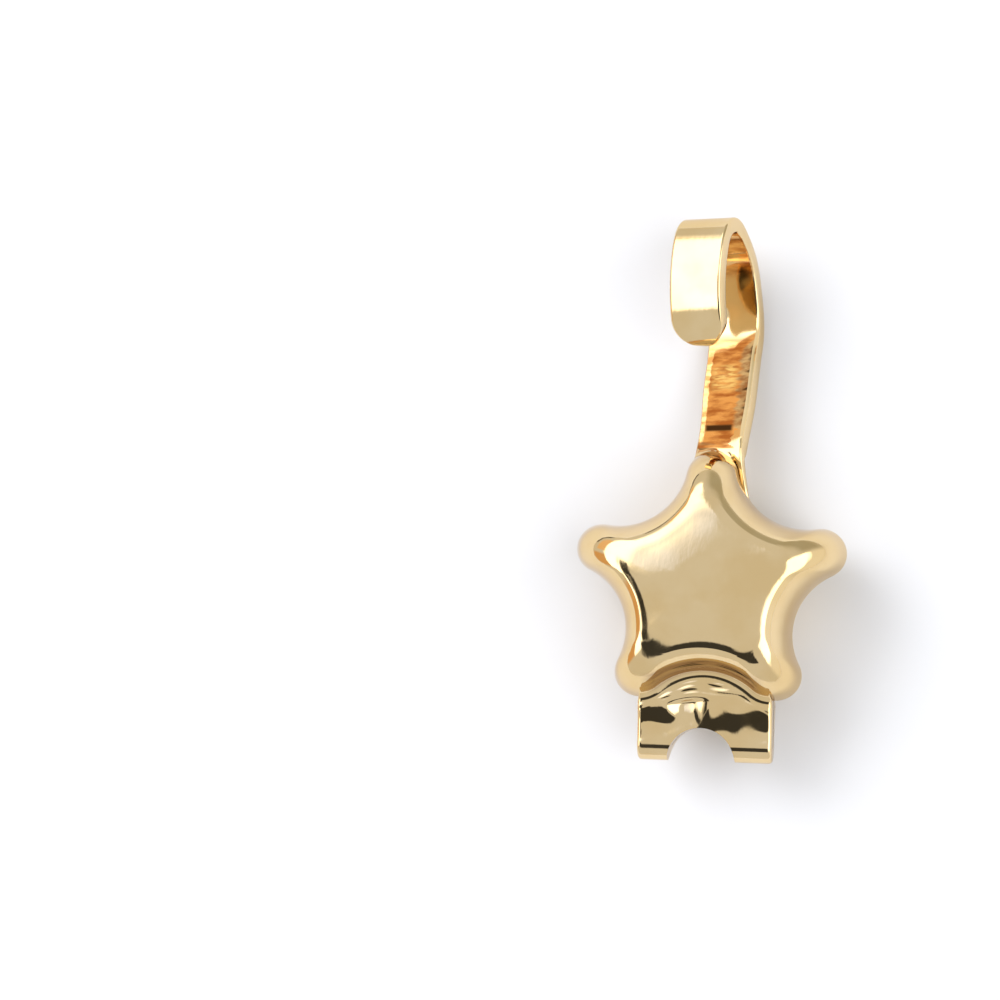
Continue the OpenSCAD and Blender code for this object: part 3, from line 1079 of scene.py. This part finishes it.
def add_camera():
    """A long lens that sees the star's middle at its place and scale in the picture."""
    yaw, pitch, roll = (math.radians(a) for a in (VIEW_YAW, VIEW_PITCH, VIEW_ROLL))
    right = Vector((math.cos(yaw), 0, -math.sin(yaw)))
    towards = Vector((math.sin(yaw), 0, math.cos(yaw)))
    up = Vector((0, 1, 0))
    up, towards = (
        up * math.cos(pitch) + towards * math.sin(pitch),
        towards * math.cos(pitch) - up * math.sin(pitch),
    )
    right, up = (
        right * math.cos(roll) + up * math.sin(roll),
        up * math.cos(roll) - right * math.sin(roll),
    )
    width = PIXELS / PIXELS_PER_MM * MM
    distance = width * LENS_MM / SENSOR_MM
    star = Vector((0, 0, LIFT * MM))
    across = (PIXELS / 2 - STAR_AT_PIXEL[0]) / PIXELS_PER_MM * MM
    rise = (STAR_AT_PIXEL[1] - PIXELS / 2) / PIXELS_PER_MM * MM
    aim = star + right * across + up * rise
    camera_data = bpy.data.cameras.new("camera")
    camera_data.lens = LENS_MM
    camera_data.sensor_width = SENSOR_MM
    camera_data.clip_start = distance * 0.01
    camera_data.clip_end = distance * 100
    camera = bpy.data.objects.new("camera", camera_data)
    axes = Matrix((right, up, towards)).transposed().to_4x4()
    camera.matrix_world = Matrix.Translation(aim + towards * distance) @ axes
    bpy.context.scene.collection.objects.link(camera)
    bpy.context.scene.camera = camera


def add_math(tree, operation, value):
    """A Math node with one input."""
    node = tree.nodes.new("ShaderNodeMath")
    node.operation = operation
    tree.links.new(value, node.inputs[0])
    return node.outputs[0]


def add_vector_math(tree, operation, value, constant=None):
    """A Vector Math node; its result is the output that the operation fills."""
    node = tree.nodes.new("ShaderNodeVectorMath")
    node.operation = operation
    tree.links.new(value, node.inputs[0])
    if constant is not None:
        node.inputs[1].default_value = constant
    return node.outputs["Value" if operation == "DOT_PRODUCT" else "Vector"]


def add_world():
    """The studio as the polished gold sees it: a grey room with white cards, dark gaps and gold cards."""
    world = bpy.data.worlds.new("studio")
    bpy.context.scene.world = world
    world.use_nodes = True
    tree = world.node_tree
    background = tree.nodes["Background"]
    direction = tree.nodes.new("ShaderNodeTexCoord").outputs["Generated"]
    split = tree.nodes.new("ShaderNodeSeparateXYZ")
    tree.links.new(direction, split.inputs[0])
    elevation = add_math(tree, "DEGREES", add_math(tree, "ARCSINE", split.outputs["Z"]))
    level = add_vector_math(tree, "MULTIPLY", direction, (1.0, 1.0, 0.0))
    level = add_vector_math(tree, "NORMALIZE", level)
    colour = (STUDIO_GREY, STUDIO_GREY, STUDIO_GREY)
    for azimuth, half, low, high, soft, tint in STUDIO_PATCHES:
        turn = math.radians(azimuth)
        across = add_vector_math(tree, "DOT_PRODUCT", level, (math.cos(turn), math.sin(turn), 0.0))
        across = add_math(tree, "DEGREES", add_math(tree, "ARCCOSINE", across))
        mask = add_product(
            tree,
            add_range(tree, across, half - soft, half + soft, 1.0, 0.0),
            add_window(tree, elevation, low, high, soft),
        )
        colour = add_mix(tree, mask, colour, tint)
    tree.links.new(colour, background.inputs["Color"])
    background.inputs["Strength"].default_value = 1.0


def add_key():
    """The soft main light from the upper left. The gold mirrors the studio's cards, not this light."""
    data = bpy.data.lights.new("key", "AREA")
    data.shape = "DISK"
    data.size = KEY_SIZE
    data.energy = KEY_POWER
    light = bpy.data.objects.new("key", data)
    place = Vector(KEY_PLACE)
    light.location = place
    light.rotation_mode = "QUATERNION"
    light.rotation_quaternion = place.to_track_quat("Z", "Y")
    light.visible_glossy = False
    bpy.context.scene.collection.objects.link(light)


def build_pieces():
    """The two halves and the two bands of the fold, with the cord hole cut through them."""
    pieces = []
    for name, is_back in (("front_star", False), ("back_star_and_hook", True)):
        sheet = half_sheet(is_back)
        pieces.append(make_mesh(name, placed(sheet.points, is_back), sheet.faces))
    for name, first, last in (("fold_back", 0, 90), ("fold_front", 90, 180)):
        sheet = fold_sheet(first, last)
        pieces.append(make_mesh(name, sheet.points, sheet.faces))
    tool = punch()
    for piece in pieces:
        cut(piece, tool)
        finish_shading(piece)
    bpy.data.objects.remove(tool)
    return pieces


def plate(pieces, back_star):
    """Gives every piece the gold plating, and the inside of the strip and hook its painted reflection of
    deeper gold.
    """
    gold = gold_material("gold_plating", GOLD_LIGHT, GOLD_DEEP, DRAWN_LINES)
    for piece in pieces:
        piece.data.materials.clear()
        piece.data.materials.append(gold)
    # The second gold paints a deep orange reflection on the inner side of the strip and the hook
    inside = gold_material("gold_plating_painted_reflection", INSIDE_REFLECTION_LIGHT, INSIDE_REFLECTION_DEEP, INSIDE_LINES, with_painted_reflection=True)
    back_star.data.materials.append(inside)
    paint_inside_reflection(back_star)


def bend_with_fold(piece):
    """Bakes the placement of a band of the fold, from the back tab's outer side to the front tab's, into its
    mesh.
    """
    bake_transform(piece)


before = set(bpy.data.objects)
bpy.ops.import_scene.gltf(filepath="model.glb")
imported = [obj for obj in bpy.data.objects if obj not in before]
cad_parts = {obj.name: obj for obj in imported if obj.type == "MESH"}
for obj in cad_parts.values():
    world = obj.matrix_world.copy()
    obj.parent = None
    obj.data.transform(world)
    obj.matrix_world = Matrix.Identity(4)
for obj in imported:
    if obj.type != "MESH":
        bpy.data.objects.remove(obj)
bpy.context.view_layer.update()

front_star, back_star, fold_back, fold_front = pieces = build_pieces()
plate(pieces, back_star)
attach(front_star, "front")
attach(back_star, "back")
bend_with_fold(fold_back)
bend_with_fold(fold_front)
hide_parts("front_half")
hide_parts("back_half")

add_floor()
add_camera()
add_world()
add_key()
bpy.context.scene.view_settings.view_transform = "Standard"
